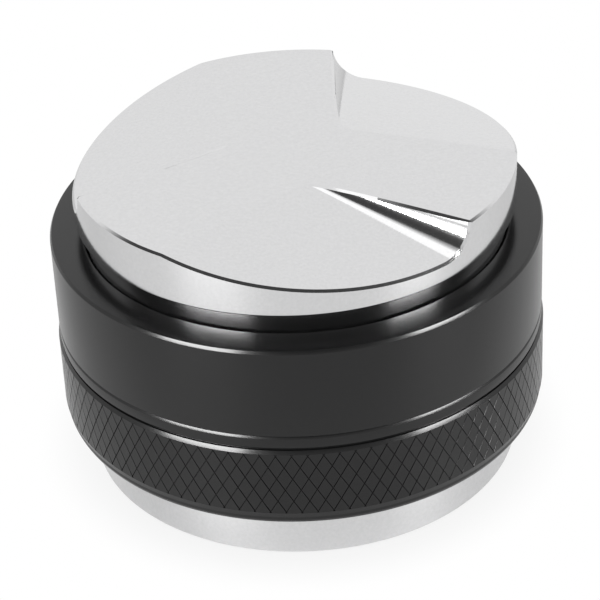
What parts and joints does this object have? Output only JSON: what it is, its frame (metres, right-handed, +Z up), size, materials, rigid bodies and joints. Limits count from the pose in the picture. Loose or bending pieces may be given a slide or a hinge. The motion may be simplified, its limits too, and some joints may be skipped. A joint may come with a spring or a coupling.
{
  "type": "espresso distributor and tamper",
  "caption": "Double-ended espresso tool: ramped steel distributor head on one end, flat steel tamper base on the other, with black depth and lock collars on a threaded core between them.",
  "frame": {"origin": "centre of the flat tamping face, which stands on the bench", "axes": "+Z up along the tool's axis to the distributor head, -Y towards the viewer"},
  "size_m": [0.0598, 0.0598, 0.0395],
  "materials": {
    "polished_steel": "finely polished stainless steel",
    "black_anodised": "satin black anodised aluminium",
    "silicone": "matt black silicone",
    "fastener_steel": "plain machined steel"
  },
  "bodies": {
    "core_body": {"core": "black_anodised", "distributor_head": "polished_steel", "tamper_base": "polished_steel", "centre_stud": "fastener_steel", "head_dowels": "fastener_steel", "base_dowels": "fastener_steel", "head_seal": "silicone", "base_seal": "silicone"},
    "collar_slide": {"collar_wiper": "silicone"},
    "depth_collar": {"depth_collar": "black_anodised"},
    "lock_slide": {"lock_wiper": "silicone"},
    "lock_collar": {"lock_collar": "black_anodised"}
  },
  "joints": [
    {"name": "collar_rise", "type": "slide", "parent": "core_body", "child": "collar_slide", "axis": [0, 0, 1], "range_m": [-0.00071, 0.00231]},
    {"name": "collar_turn", "type": "hinge", "parent": "collar_slide", "child": "depth_collar", "pos_m": [0, 0, 0.025], "axis": [0, 0, 1], "range_deg": [-168, 552]},
    {"name": "lock_drop", "type": "slide", "parent": "depth_collar", "child": "lock_slide", "axis": [0, 0, 1], "range_m": [-0.00051, 0]},
    {"name": "lock_turn", "type": "hinge", "parent": "lock_slide", "child": "lock_collar", "pos_m": [0, 0, 0.013], "axis": [0, 0, 1], "range_deg": [-120, 0]}
  ],
  "couplings": [
    {"joint": "collar_rise", "follows": "collar_turn", "m_per_rad": 0.00023873},
    {"joint": "lock_drop", "follows": "lock_turn", "m_per_rad": 0.00023873}
  ]
}
